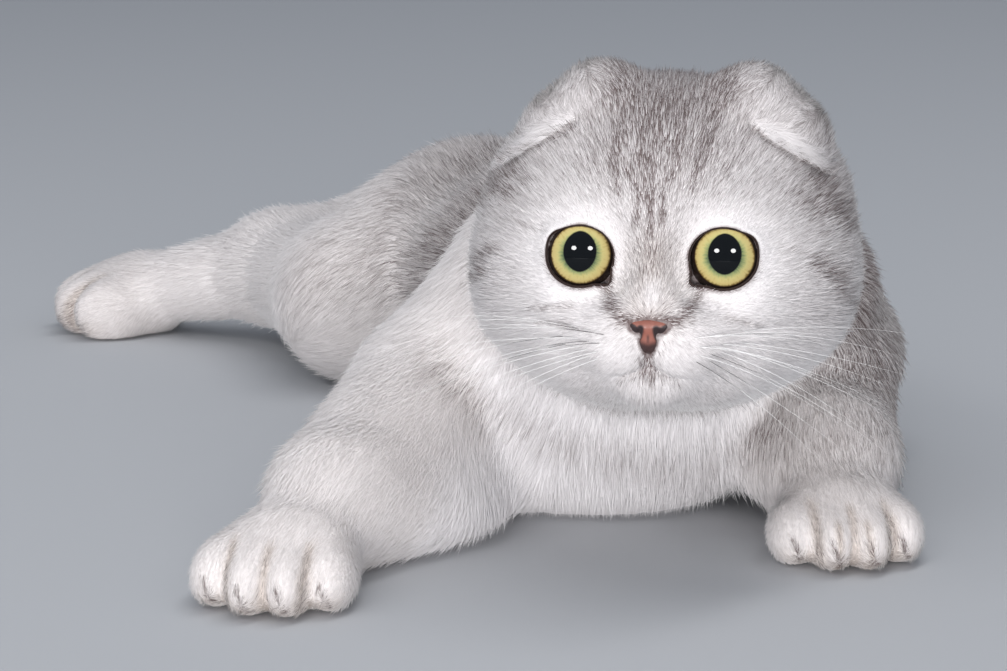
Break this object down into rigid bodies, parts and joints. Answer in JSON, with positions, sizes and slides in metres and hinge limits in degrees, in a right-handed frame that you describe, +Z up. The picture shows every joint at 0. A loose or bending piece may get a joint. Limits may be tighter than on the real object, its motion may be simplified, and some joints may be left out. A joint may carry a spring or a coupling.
{
  "type": "scottish fold cat",
  "caption": "Life-size still model of a lying, short-coated silver tabby scottish fold cat with its head up, forelegs ahead and one hind leg out to the side.",
  "frame": {"origin": "on the floor, under the middle of the box round the whole animal", "axes": "+Z up, -Y the way the face and the forepaws point, +X to the animal's own left"},
  "size_m": [0.3236, 0.403, 0.1522],
  "materials": {
    "silver_coat": "short dense plush fur, silver with grey-brown ticking, matt",
    "white_coat": "short dense plush fur, white, matt",
    "nose_leather": "brick-pink bare skin, satin",
    "eye": "glossy amber glass eye"
  },
  "bodies": {
    "root": {"head": "silver_coat", "jaw": "white_coat", "nose": "nose_leather", "ear_right": "silver_coat", "ear_left": "silver_coat", "eye_right": "eye", "eye_left": "eye", "neck": "silver_coat", "chest": "white_coat", "abdomen": "silver_coat", "rump": "silver_coat", "upper_arm_right": "white_coat", "forearm_right": "white_coat", "forepaw_right": "white_coat", "upper_arm_left": "silver_coat", "forearm_left": "silver_coat", "forepaw_left": "white_coat", "thigh_right": "silver_coat", "shin_right": "silver_coat", "hindfoot_right": "white_coat", "thigh_left": "silver_coat", "shin_left": "silver_coat", "hindfoot_left": "white_coat", "tail_base": "silver_coat", "tail_middle": "silver_coat", "tail_tip": "silver_coat"}
  },
  "joints": []
}
